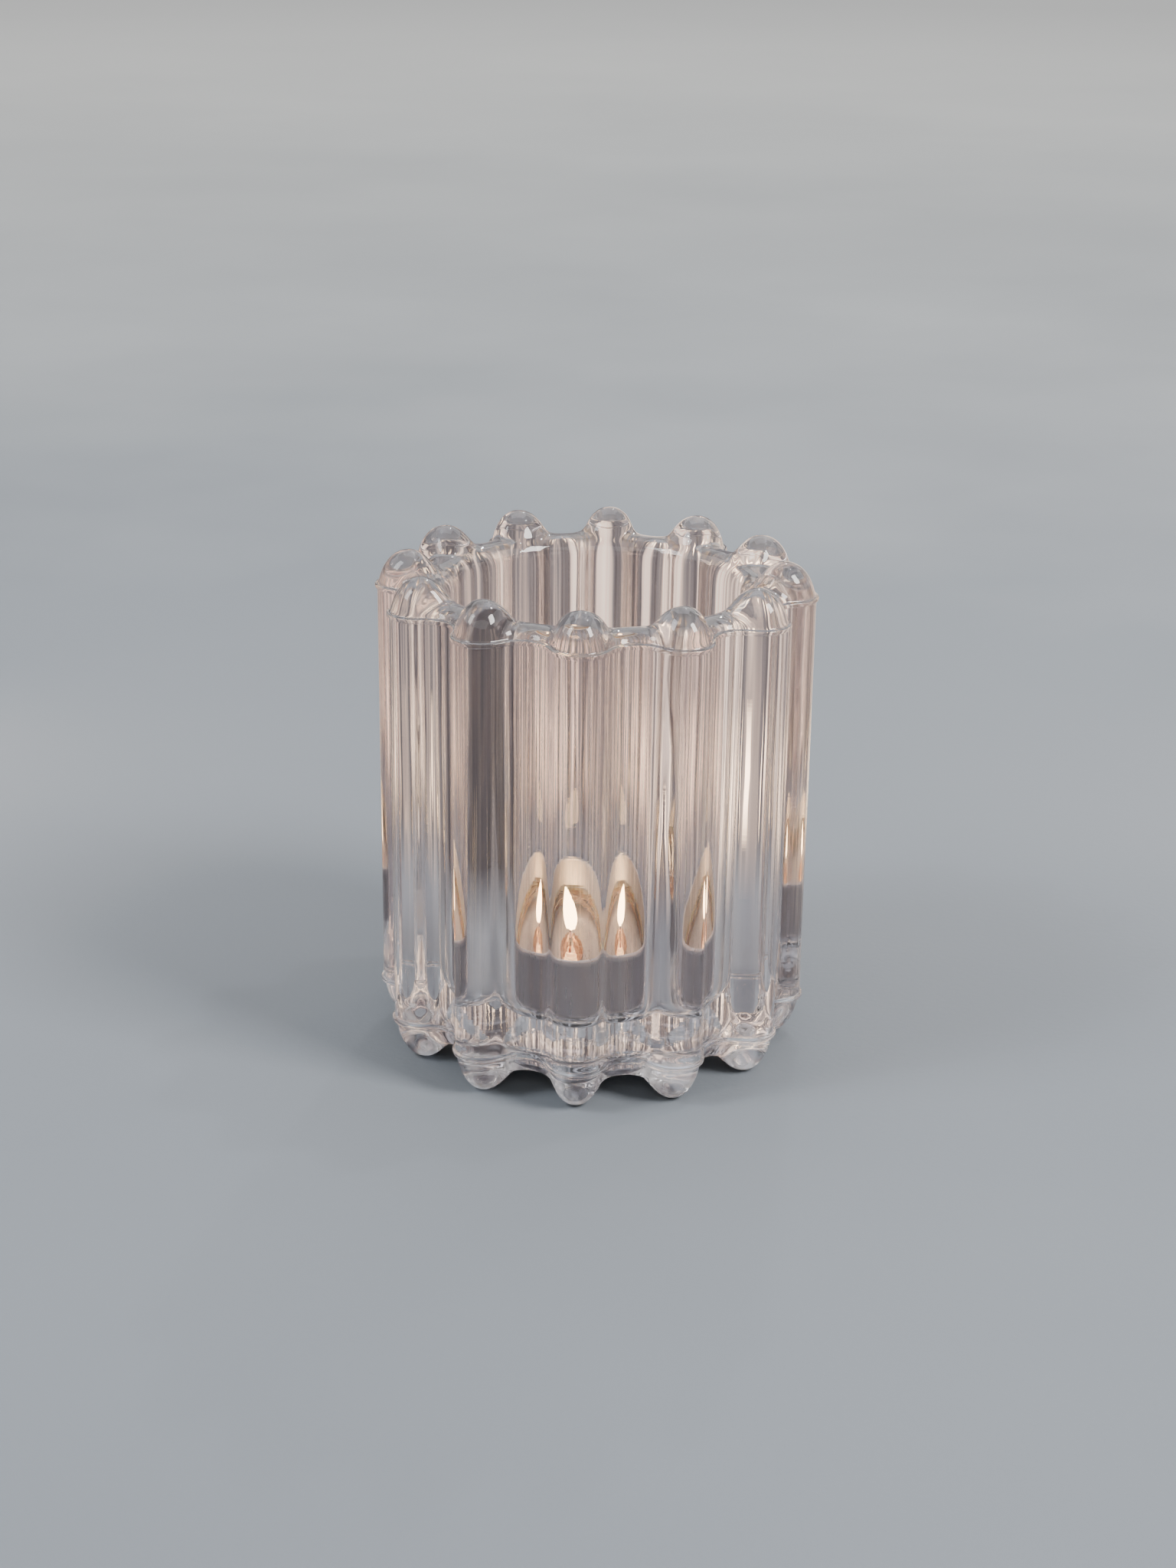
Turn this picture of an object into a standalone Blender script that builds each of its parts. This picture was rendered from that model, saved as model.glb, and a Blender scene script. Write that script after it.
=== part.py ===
"""Tealight holder: a thick pressed-glass tumbler of twelve fluted columns with a tealight inside.

Metres, +Z up, centred on the glass's own axis, standing on Z = 0 with one column towards -Y.
"""
import math

import bmesh
import bpy

# ---- driving dimensions of the glass -------------------------------------------------------
COLUMN_COUNT = 12
COLUMN_RING_RADIUS = 0.02730     # axis of the glass to the axis of each column
COLUMN_RADIUS = 0.00430          # roundness of each column
VALLEY_DEPTH_RADIUS = 0.02660    # axis of the glass to the bottom of each valley
RIDGE_RADIUS = 0.02700           # axis of the glass to the highest point of each dome
GLASS_HEIGHT = 0.07270
TOP_DOME_HEIGHT = 0.00490        # from the upper mould line to the top of a dome
TOP_RIM_HEIGHT = 0.00150         # from the upper mould line to the rim in a valley
FOOT_HEIGHT = 0.00620            # from the lower mould line to the tip of a foot
BASE_RIM_HEIGHT = 0.00310        # from the lower mould line to the rim in a valley
FOOT_FLAT_HALF_WIDTH = 0.00080   # worn flat under each foot, across the radius
FOOT_FLAT_HALF_LENGTH = 0.00080  # the same, along the radius
RIM_BLEND = 0.00080              # softness of the blend between dome and rim
RIM_EDGE_ANGLE = math.radians(76.0)
BORE_RADIUS_TOP = 0.02090
BORE_RADIUS_BOTTOM = 0.02030
BORE_LIP_DEPTH = 0.00640         # how far the rounded lip runs down into the bore
CAVITY_FLOOR_Z = 0.00970
CAVITY_FILLET = 0.00300
RECESS_RADIUS = 0.02080          # shallow hollow under the base
RECESS_ROOF_Z = 0.00540

# ---- driving dimensions of the tealight ----------------------------------------------------
TEALIGHT_OFFSET_X = -0.00060     # it stands loose, a little to one side
REST_GAP = 0.00030
CUP_RADIUS = 0.01900
CUP_HEIGHT = 0.01030
CUP_WALL = 0.00035
CUP_CORNER = 0.00200
CUP_BEAD_RADIUS = 0.00030
WAX_GAP = 0.00030
WAX_DEPTH = 0.00460
WAX_EDGE_RISE = 0.00035
WAX_HOLE_RADIUS = 0.00175
WAX_RECESS_RADIUS = 0.00720
WAX_RECESS_HEIGHT = 0.00115
SUSTAINER_RADIUS = 0.00650
SUSTAINER_PLATE = 0.00040
SUSTAINER_NECK_RADIUS = 0.00140
SUSTAINER_NECK_BORE = 0.00100
SUSTAINER_NECK_HEIGHT = 0.00350
WICK_RADIUS = 0.00065
WICK_TOP = 0.00820               # above the foot of the tealight
WICK_LEAN = 0.00070              # sideways lean of the tip

# ---- facet counts --------------------------------------------------------------------------
COLUMN_ARC_STEPS = (0.12, 0.32, 0.54, 0.77, 1.0)
VALLEY_ARC_STEPS = 4
LIP_STEPS = 4
CUP_SEGMENTS = 60
SMALL_SEGMENTS = 24


def clear_scene():
    """Start from nothing but this part."""
    for item in list(bpy.data.objects):
        bpy.data.objects.remove(item, do_unlink=True)
    for mesh in list(bpy.data.meshes):
        bpy.data.meshes.remove(mesh)


def make_material(name, colour, roughness, metallic, transmission=0.0):
    """A plain Principled material."""
    material = bpy.data.materials.new(name)
    material.use_nodes = True
    shader = material.node_tree.nodes["Principled BSDF"]
    shader.inputs["Base Color"].default_value = colour
    shader.inputs["Roughness"].default_value = roughness
    shader.inputs["Metallic"].default_value = metallic
    shader.inputs["Transmission Weight"].default_value = transmission
    material.diffuse_color = colour
    return material


def add_object(name, vertices, faces, material):
    """Put one closed mesh in the scene, facing outwards and shaded smooth."""
    mesh = bpy.data.meshes.new(name)
    mesh.from_pydata(vertices, [], faces)
    mesh.update()
    work = bmesh.new()
    work.from_mesh(mesh)
    bmesh.ops.recalc_face_normals(work, faces=work.faces)
    work.to_mesh(mesh)
    work.free()
    for face in mesh.polygons:
        face.use_smooth = True
    item = bpy.data.objects.new(name, mesh)
    bpy.context.collection.objects.link(item)
    mesh.materials.append(material)
    return item


def spin_profile(profile, segments, centre_x=0.0):
    """Vertices and faces of a closed solid of revolution; a zero radius becomes a pole."""
    vertices = []
    rows = []
    for radius, height in profile:
        if radius == 0.0:
            rows.append([len(vertices)])
            vertices.append((centre_x, 0.0, height))
            continue
        row = []
        for step in range(segments):
            angle = 2.0 * math.pi * step / segments
            row.append(len(vertices))
            vertices.append((centre_x + radius * math.cos(angle), radius * math.sin(angle), height))
        rows.append(row)
    faces = []
    pairs = [(rows[i], rows[i + 1]) for i in range(len(rows) - 1)]
    if len(rows[0]) > 1 and len(rows[-1]) > 1:
        pairs.append((rows[-1], rows[0]))
    for low, high in pairs:
        for step in range(segments):
            after = (step + 1) % segments
            if len(low) == 1:
                faces.append((low[0], high[after], high[step]))
            elif len(high) == 1:
                faces.append((low[step], low[after], high[0]))
            else:
                faces.append((low[step], low[after], high[after], high[step]))
    return vertices, faces


def quarter_arc(centre_r, centre_z, radius, start_deg, end_deg, steps):
    """Points of an arc in the radius-height plane, ends included."""
    points = []
    for step in range(steps + 1):
        angle = math.radians(start_deg + (end_deg - start_deg) * step / steps)
        points.append((centre_r + radius * math.cos(angle), centre_z + radius * math.sin(angle)))
    return points


# ---- the pressed glass ---------------------------------------------------------------------
def fluted_outline():
    """One turn of the fluted outline, as (x, y, bearing, distance from the column's middle).

    Convex column arcs run tangent into concave valley arcs. The last value is the sideways
    distance from the column's own radius line, or None in a valley.
    """
    half = math.pi / COLUMN_COUNT
    inset = VALLEY_DEPTH_RADIUS - COLUMN_RING_RADIUS * math.cos(half)
    side = COLUMN_RING_RADIUS * math.sin(half)
    valley_radius = (inset ** 2 + side ** 2 - COLUMN_RADIUS ** 2) / (2.0 * (COLUMN_RADIUS - inset))
    valley_ring = VALLEY_DEPTH_RADIUS + valley_radius
    arc_end = math.atan2(
        valley_ring * math.sin(half), valley_ring * math.cos(half) - COLUMN_RING_RADIUS)
    centre_x = valley_ring * math.cos(half)
    centre_y = valley_ring * math.sin(half)
    sides = [-step for step in reversed(COLUMN_ARC_STEPS)] + [0.0] + list(COLUMN_ARC_STEPS)
    period = []
    for share in sides:
        x = COLUMN_RING_RADIUS + COLUMN_RADIUS * math.cos(arc_end * share)
        y = COLUMN_RADIUS * math.sin(arc_end * share)
        period.append((x, y, share))
    join_bearing = math.atan2(period[-1][1], period[-1][0])
    start = math.atan2(period[-1][1] - centre_y, period[-1][0] - centre_x)
    inward = math.pi + half
    sweep = inward - (start % (2.0 * math.pi))
    for step in range(1, 2 * VALLEY_ARC_STEPS):
        angle = inward - sweep + sweep * step / VALLEY_ARC_STEPS
        x = centre_x + valley_radius * math.cos(angle)
        y = centre_y + valley_radius * math.sin(angle)
        period.append((x, y, None))
    points = []
    for column in range(COLUMN_COUNT):
        turn = 2.0 * math.pi * column / COLUMN_COUNT - math.pi / 2.0
        for index, (x, y, share) in enumerate(period):
            if share is None:
                valley_share = (index - len(sides) + 1) / (2 * VALLEY_ARC_STEPS)
                bearing = join_bearing + (2.0 * half - 2.0 * join_bearing) * valley_share
                sideways = None
            else:
                bearing = join_bearing * share
                sideways = 0.5 * (y + BORE_RADIUS_TOP * math.sin(bearing))
            turned_x = x * math.cos(turn) - y * math.sin(turn)
            turned_y = x * math.sin(turn) + y * math.cos(turn)
            points.append((turned_x, turned_y, bearing + turn, sideways))
    widest = 0.5 * (COLUMN_RADIUS + BORE_RADIUS_TOP * math.sin(join_bearing))
    return points, widest


def dome_height(sideways, widest, dome, rim, flat):
    """Height of the rounded end over the mould line: a dome that melts into the lower rim."""
    raw = 0.0
    if sideways is not None:
        share = max(0.0, abs(sideways) - flat) / (widest - flat)
        raw = dome * math.sqrt(max(0.0, 1.0 - share ** 2))
    blended = RIM_BLEND * math.log(math.exp(raw / RIM_BLEND) + math.exp(rim / RIM_BLEND))
    return min(dome, blended)


def ridge_share(outer_radius, sideways, widest):
    """How far out the ridge lies between the bore and the outline."""
    middle = 0.5
    if sideways is None:
        return middle
    column_share = (RIDGE_RADIUS - BORE_RADIUS_TOP) / (
        COLUMN_RING_RADIUS + COLUMN_RADIUS - BORE_RADIUS_TOP)
    nearness = max(0.0, 1.0 - (sideways / widest) ** 2)
    return middle + (column_share - middle) * nearness


def between(start, end, share):
    """A point part of the way from one plan position to another."""
    return (start[0] + (end[0] - start[0]) * share, start[1] + (end[1] - start[1]) * share)


def glass_rings():
    """Rings of (x, y, z) from the cavity's floor, over the top, down the outside and underneath."""
    outline, widest = fluted_outline()
    count = len(outline)
    rings = []

    def round_ring(radius, height):
        rings.append([
            (radius * math.cos(p[2]), radius * math.sin(p[2]), height) for p in outline])

    upper_line = GLASS_HEIGHT - TOP_DOME_HEIGHT
    lower_line = FOOT_HEIGHT
    tops = [dome_height(p[3], widest, TOP_DOME_HEIGHT, TOP_RIM_HEIGHT, 0.0) for p in outline]
    feet = [
        dome_height(p[3], widest, FOOT_HEIGHT, BASE_RIM_HEIGHT, FOOT_FLAT_HALF_WIDTH + 0.0001)
        for p in outline]
    bore = [(BORE_RADIUS_TOP * math.cos(p[2]), BORE_RADIUS_TOP * math.sin(p[2])) for p in outline]
    recess = [(RECESS_RADIUS * math.cos(p[2]), RECESS_RADIUS * math.sin(p[2])) for p in outline]
    outer = [(p[0], p[1]) for p in outline]
    shares = [ridge_share(math.hypot(p[0], p[1]), p[3], widest) for p in outline]
    ridge = [between(bore[i], outer[i], shares[i]) for i in range(count)]

    # cavity floor and its rounded corner
    for step in range(4):
        angle = math.radians(90.0 * step / 3)
        round_ring(
            BORE_RADIUS_BOTTOM - CAVITY_FILLET + CAVITY_FILLET * math.sin(angle),
            CAVITY_FLOOR_Z + CAVITY_FILLET - CAVITY_FILLET * math.cos(angle))
    # rounded lip: up from the bore to the ridge, then out to the mould line
    lip_start = GLASS_HEIGHT - BORE_LIP_DEPTH
    for step in range(LIP_STEPS + 1):
        angle = math.radians(90.0 * (1.0 - step / LIP_STEPS))
        ring = []
        for i in range(count):
            x, y = between(ridge[i], bore[i], math.sin(angle))
            ring.append((x, y, lip_start + (upper_line + tops[i] - lip_start) * math.cos(angle)))
        rings.append(ring)
    edge = RIM_EDGE_ANGLE
    for step in range(1, LIP_STEPS + 1):
        angle = edge * step / LIP_STEPS
        ring = []
        for i in range(count):
            x, y = between(ridge[i], outer[i], math.sin(angle) / math.sin(edge))
            rise = (math.cos(angle) - math.cos(edge)) / (1.0 - math.cos(edge))
            ring.append((x, y, upper_line + tops[i] * rise))
        rings.append(ring)
    # lower mould line, then the feet
    for step in range(LIP_STEPS):
        angle = edge * (1.0 - step / LIP_STEPS)
        ring = []
        for i in range(count):
            x, y = between(ridge[i], outer[i], math.sin(angle) / math.sin(edge))
            rise = (math.cos(angle) - math.cos(edge)) / (1.0 - math.cos(edge))
            ring.append((x, y, lower_line - feet[i] * rise))
        rings.append(ring)
    for reach in (FOOT_FLAT_HALF_LENGTH, -FOOT_FLAT_HALF_LENGTH):
        ring = []
        for i in range(count):
            span = math.hypot(outer[i][0] - ridge[i][0], outer[i][1] - ridge[i][1])
            x, y = between(ridge[i], outer[i], reach / span)
            ring.append((x, y, lower_line - feet[i]))
        rings.append(ring)
    for step in range(1, LIP_STEPS + 1):
        angle = math.radians(90.0 * step / LIP_STEPS)
        ring = []
        for i in range(count):
            x, y = between(ridge[i], recess[i], max(0.12, math.sin(angle)))
            drop = RECESS_ROOF_Z - (lower_line - feet[i])
            ring.append((x, y, RECESS_ROOF_Z - drop * math.cos(angle)))
        rings.append(ring)
    return rings


def build_glass(material):
    """The fluted tumbler as one closed solid."""
    rings = glass_rings()
    count = len(rings[0])
    vertices = [point for ring in rings for point in ring]
    faces = []
    for row in range(len(rings) - 1):
        for step in range(count):
            after = (step + 1) % count
            low = row * count
            high = low + count
            faces.append((low + step, low + after, high + after, high + step))
    for base, height in ((0, CAVITY_FLOOR_Z), ((len(rings) - 1) * count, RECESS_ROOF_Z)):
        pole = len(vertices)
        vertices.append((0.0, 0.0, height))
        for step in range(count):
            faces.append((base + step, base + (step + 1) % count, pole))
    return add_object("glass_holder", vertices, faces, material)


# ---- the tealight --------------------------------------------------------------------------
def build_cup(material, foot):
    """Thin aluminium cup with a rounded corner and a rolled bead at its mouth."""
    top = foot + CUP_HEIGHT
    inner_corner = CUP_CORNER - CUP_WALL
    inner_wall = CUP_RADIUS - CUP_WALL
    bead_z = top - CUP_BEAD_RADIUS
    bead_r = CUP_RADIUS - 0.5 * CUP_WALL
    profile = [(0.0, foot)]
    profile += quarter_arc(CUP_RADIUS - CUP_CORNER, foot + CUP_CORNER, CUP_CORNER, -90, 0, 4)
    profile += quarter_arc(bead_r, bead_z, CUP_BEAD_RADIUS, -40, 220, 6)
    profile += [(inner_wall, bead_z - 0.0006)]
    profile += quarter_arc(
        CUP_RADIUS - CUP_CORNER, foot + CUP_CORNER, inner_corner, 0, -90, 4)
    profile += [(0.0, foot + CUP_WALL)]
    vertices, faces = spin_profile(profile, CUP_SEGMENTS, TEALIGHT_OFFSET_X)
    return add_object("tealight_cup", vertices, faces, material)


def build_wax(material, foot):
    """The wax fill: slightly dished, with a hole for the wick and room for its foot."""
    bottom = foot + CUP_WALL + WAX_GAP
    top = foot + CUP_WALL + WAX_GAP + WAX_DEPTH
    wall = CUP_RADIUS - CUP_WALL - WAX_GAP
    corner = CUP_CORNER - CUP_WALL - WAX_GAP
    profile = [(WAX_RECESS_RADIUS, bottom)]
    profile += quarter_arc(wall - corner, bottom + corner, corner, -90, 0, 3)
    profile += [
        (wall, top + WAX_EDGE_RISE),
        (wall - 0.0010, top),
        (0.5 * wall, top - 0.0002),
        (WAX_HOLE_RADIUS, top - 0.0003),
        (WAX_HOLE_RADIUS, bottom + WAX_RECESS_HEIGHT),
        (WAX_RECESS_RADIUS, bottom + WAX_RECESS_HEIGHT),
    ]
    vertices, faces = spin_profile(profile, CUP_SEGMENTS, TEALIGHT_OFFSET_X)
    return add_object("wax", vertices, faces, material)


def build_sustainer(material, foot):
    """Small stamped plate with a neck that holds the wick upright."""
    bottom = foot + CUP_WALL + REST_GAP
    profile = [
        (SUSTAINER_NECK_BORE, bottom),
        (SUSTAINER_RADIUS, bottom),
        (SUSTAINER_RADIUS, bottom + SUSTAINER_PLATE),
        (SUSTAINER_NECK_RADIUS + 0.0002, bottom + SUSTAINER_PLATE),
        (SUSTAINER_NECK_RADIUS, bottom + SUSTAINER_PLATE + 0.0002),
        (SUSTAINER_NECK_RADIUS, bottom + SUSTAINER_NECK_HEIGHT),
        (SUSTAINER_NECK_BORE, bottom + SUSTAINER_NECK_HEIGHT),
    ]
    vertices, faces = spin_profile(profile, SMALL_SEGMENTS, TEALIGHT_OFFSET_X)
    return add_object("wick_sustainer", vertices, faces, material)


def build_wick(material, foot):
    """Round cotton wick, straight through the wax and leaning a little above it."""
    bottom = foot + CUP_WALL + REST_GAP
    bend_from = foot + CUP_WALL + WAX_GAP + WAX_DEPTH
    top = foot + WICK_TOP
    levels = [(bottom, 0.0), (bend_from, 0.0)]
    for step in range(1, 4):
        share = step / 3
        levels.append((bend_from + (top - bend_from) * share, WICK_LEAN * share ** 1.5))
    vertices = []
    for height, lean in levels:
        for step in range(12):
            angle = 2.0 * math.pi * step / 12
            vertices.append((
                TEALIGHT_OFFSET_X + lean + WICK_RADIUS * math.cos(angle),
                WICK_RADIUS * math.sin(angle),
                height))
    faces = [tuple(reversed(range(12)))]
    for row in range(len(levels) - 1):
        for step in range(12):
            after = (step + 1) % 12
            faces.append((row * 12 + step, row * 12 + after, row * 12 + 12 + after, row * 12 + 12 + step))
    last = (len(levels) - 1) * 12
    faces.append(tuple(range(last, last + 12)))
    return add_object("wick", vertices, faces, material)


def main():
    """Build every piece at its place."""
    clear_scene()
    bpy.context.scene.unit_settings.system = "METRIC"
    glass = make_material("clear_glass", (0.93, 0.94, 0.95, 1.0), 0.02, 0.0, 1.0)
    aluminium = make_material("cup_aluminium", (0.72, 0.72, 0.73, 1.0), 0.32, 1.0)
    wax = make_material("paraffin_wax", (0.93, 0.89, 0.80, 1.0), 0.35, 0.0)
    cotton = make_material("charred_cotton", (0.16, 0.12, 0.09, 1.0), 0.95, 0.0)
    tin = make_material("tinned_steel", (0.62, 0.62, 0.60, 1.0), 0.40, 1.0)
    foot = CAVITY_FLOOR_Z + REST_GAP
    build_glass(glass)
    cup = build_cup(aluminium, foot)
    inner = [build_wax(wax, foot), build_sustainer(tin, foot), build_wick(cotton, foot)]
    lift_axis = bpy.data.objects.new("tealight_lift_axis", None)
    bpy.context.collection.objects.link(lift_axis)
    for item in [cup] + inner:
        item.parent = lift_axis


main()
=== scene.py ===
"""Looks for the fluted pressed-glass tealight holder and the lit tealight inside it."""

import math

import bmesh
import bpy
from mathutils import Matrix, Vector


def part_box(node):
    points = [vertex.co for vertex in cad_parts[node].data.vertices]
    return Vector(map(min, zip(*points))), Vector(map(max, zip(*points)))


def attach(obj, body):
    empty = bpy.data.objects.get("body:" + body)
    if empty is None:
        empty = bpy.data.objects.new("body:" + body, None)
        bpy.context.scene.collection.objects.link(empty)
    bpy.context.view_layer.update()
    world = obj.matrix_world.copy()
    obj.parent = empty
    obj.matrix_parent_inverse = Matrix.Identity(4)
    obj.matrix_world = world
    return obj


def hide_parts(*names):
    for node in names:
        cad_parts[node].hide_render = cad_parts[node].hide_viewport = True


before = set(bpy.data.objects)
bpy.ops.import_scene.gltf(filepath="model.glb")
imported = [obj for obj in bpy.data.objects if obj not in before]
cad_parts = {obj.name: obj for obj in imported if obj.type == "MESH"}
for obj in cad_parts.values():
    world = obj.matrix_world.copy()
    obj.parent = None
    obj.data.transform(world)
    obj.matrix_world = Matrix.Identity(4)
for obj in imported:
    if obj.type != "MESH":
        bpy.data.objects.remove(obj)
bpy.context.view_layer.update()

# ---- the glass, in metres ------------------------------------------------------------------
glass_low, glass_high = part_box("glass_holder")
FLUTES = 12
FLUTE_ANGLE = 2.0 * math.pi / FLUTES
OUTER_RADIUS = glass_high.y
GLASS_HEIGHT = glass_high.z
FLUTE_ROUND = 0.00430
FLUTE_RING = OUTER_RADIUS - FLUTE_ROUND
VALLEY_RADIUS = 0.02660
RIDGE_RADIUS = 0.02700
BORE_TOP = 0.02090
BORE_BOTTOM = 0.02030
CAVITY_FLOOR = 0.00970
CAVITY_FILLET = 0.00300
LIP_DEPTH = 0.00640
TOP_DOME = 0.00490
TOP_RIM = 0.00150
FOOT_DOME = 0.00620
BASE_RIM = 0.00310
RECESS_RADIUS = 0.02080
RECESS_ROOF = 0.00540
MOULD_BEAD = 0.00038
MOULD_LEDGE = 0.00055
DOME_HALF_WIDTH = 0.00450
RIM_ROUND = 0.00260
BLEND = 0.00050
COLUMN_STEPS = 4
VALLEY_STEPS = 3
HALF_STEPS = COLUMN_STEPS + VALLEY_STEPS

# ---- the tealight, in metres ---------------------------------------------------------------
cup_low, cup_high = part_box("tealight_cup")
wax_low, wax_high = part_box("wax")
wick_low, wick_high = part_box("wick")
plate_low, plate_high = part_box("wick_sustainer")
CANDLE_X = 0.5 * (cup_low.x + cup_high.x)
CUP_FOOT = cup_low.z
CUP_MOUTH = cup_high.z
CUP_RADIUS = 0.01900
CUP_WALL = 0.00022
WAX_LEVEL = wax_high.z - 0.00045
CRUST_WIDTH = 0.00070
POOL_RADIUS = CUP_RADIUS - CUP_WALL - CRUST_WIDTH
WICK_RADIUS = 0.00062
FLAME_HEIGHT = 0.00640
FLAME_RADIUS = 0.00320
FLAME_FOOT = wick_high.z - 0.00130

# ---- air, floor, ring of cards, and strips by bearing, width, height, power and colour --------
PEACH = (1.0, 0.80, 0.64)
AIR_SEEN = (0.560, 0.565, 0.562)
AIR_STRENGTH = 0.30
FLOOR_MIDDLE = (0.0, -0.25, 0.0)
FLOOR_FADE = (1.2, 2.1)
RIPPLE_SHARE = 0.14
LEAN_WEIGHT = 0.36
RING_RADIUS = 0.066
RING_HEIGHT = 0.09
# how far the cards lean towards pale, by share of the way round
CARD_LEAN = (
    (0.0, 0.44), (0.03, 0.24), (0.075, 0.24), (0.11, 0.50), (0.45, 0.58), (0.62, 0.52),
    (0.66, 0.78), (0.71, 0.74), (0.76, 0.50), (0.90, 0.50), (1.0, 0.44))
GLOW_REACH = 0.20
GLOW_STRIPS = (
    (32.0, 0.06, 0.11, 0.05, PEACH),
    (148.0, 0.05, 0.11, 0.045, PEACH),
)

# ---- camera --------------------------------------------------------------------------------
CAMERA_DISTANCE = 14.7 * 0.027
CAMERA_ELEVATION = math.radians(20.93)
CAMERA_ROLL = math.radians(0.74)
CAMERA_TURN = math.radians(4.1)
CAMERA_LENS = 62.40
CAMERA_SHIFT = (-0.00332, 0.00771)


# ---- small helpers -------------------------------------------------------------------------
def leave_edit():
    """Back to object mode with nothing selected."""
    if bpy.context.object and bpy.context.object.mode != "OBJECT":
        bpy.ops.object.mode_set(mode="OBJECT")
    bpy.ops.object.select_all(action="DESELECT")


def open_edit(name):
    """Name the primitive just added and open it in edit mode by vertices."""
    piece = bpy.context.object
    piece.name = name
    piece.data.name = name
    bpy.ops.object.transform_apply(location=True, rotation=True, scale=True)
    bpy.ops.object.mode_set(mode="EDIT")
    bpy.ops.mesh.select_mode(type="VERT")
    return piece, bmesh.from_edit_mesh(piece.data)


def pick(piece, shape, test):
    """Select only the vertices that pass a test."""
    for vertex in shape.verts:
        vertex.select = bool(test(vertex))
    shape.select_flush_mode()
    bmesh.update_edit_mesh(piece.data, loop_triangles=False, destructive=False)


def move_selected(offset):
    """Move the selection."""
    bpy.ops.transform.translate(value=offset)


def close_piece(piece, smooth=True):
    """Merge doubles, turn faces outwards and leave edit mode."""
    bpy.ops.mesh.select_all(action="SELECT")
    bpy.ops.mesh.remove_doubles(threshold=0.00001)
    bpy.ops.mesh.normals_make_consistent(inside=False)
    bpy.ops.object.mode_set(mode="OBJECT")
    if smooth:
        bpy.ops.object.shade_smooth()
    piece.select_set(True)


def apply_all(piece):
    """Make every modifier part of the mesh."""
    leave_edit()
    bpy.context.view_layer.objects.active = piece
    piece.select_set(True)
    for modifier in list(piece.modifiers):
        bpy.ops.object.modifier_apply(modifier=modifier.name)


def round_off(piece, levels):
    """Smooth the cage into its final surface."""
    smooth = piece.modifiers.new("smooth", "SUBSURF")
    smooth.levels = levels
    smooth.render_levels = levels
    apply_all(piece)


def lathe(name, profile, steps, closed=False):
    """Turn a profile of (radius, height) points about the candle's own axis."""
    leave_edit()
    bpy.ops.mesh.primitive_plane_add(size=0.001, location=(profile[0][0], 0.0, profile[0][1]))
    piece, shape = open_edit(name)
    bpy.ops.mesh.merge(type="CENTER")
    for (r0, z0), (r1, z1) in zip(profile, profile[1:]):
        bpy.ops.mesh.extrude_vertices_move(
            TRANSFORM_OT_translate={"value": (r1 - r0, 0.0, z1 - z0)})
    if closed:
        bpy.ops.mesh.select_all(action="SELECT")
        shape = bmesh.from_edit_mesh(piece.data)
        ends = [v for v in shape.verts if len(v.link_edges) == 1]
        pick(piece, shape, lambda v: v in ends)
        bpy.ops.mesh.edge_face_add()
    bpy.ops.mesh.select_all(action="SELECT")
    bpy.ops.mesh.spin(steps=steps, angle=2.0 * math.pi, center=(0.0, 0.0, 0.0), axis=(0.0, 0.0, 1.0))
    close_piece(piece)
    return piece


def arc_points(centre, radius, start, end, steps):
    """Points along an arc in the profile's plane, ends included, angles in degrees."""
    points = []
    for step in range(steps + 1):
        angle = math.radians(start + (end - start) * step / steps)
        points.append((centre[0] + radius * math.cos(angle), centre[1] + radius * math.sin(angle)))
    return points


def eased(points, parts=4):
    """A profile with soft curves drawn through its points."""
    dense = []
    last = len(points) - 1
    for index in range(last):
        before = points[max(0, index - 1)]
        start = points[index]
        end = points[index + 1]
        after = points[min(last, index + 2)]
        for part in range(parts):
            t = part / parts
            place = []
            for axis in (0, 1):
                pull = 0.5 * (end[axis] - before[axis])
                push = 0.5 * (after[axis] - start[axis])
                place.append(
                    (2 * t ** 3 - 3 * t ** 2 + 1) * start[axis] + (t ** 3 - 2 * t ** 2 + t) * pull
                    + (3 * t ** 2 - 2 * t ** 3) * end[axis] + (t ** 3 - t ** 2) * push)
            dense.append((max(0.0, place[0]), place[1]))
    dense.append(points[-1])
    return dense


def shift_piece(piece, offset):
    """Place a finished piece by moving its mesh, so its object stays at the origin."""
    leave_edit()
    bpy.context.view_layer.objects.active = piece
    piece.select_set(True)
    bpy.ops.object.mode_set(mode="EDIT")
    bpy.ops.mesh.select_all(action="SELECT")
    move_selected(offset)
    bpy.ops.object.mode_set(mode="OBJECT")


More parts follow.
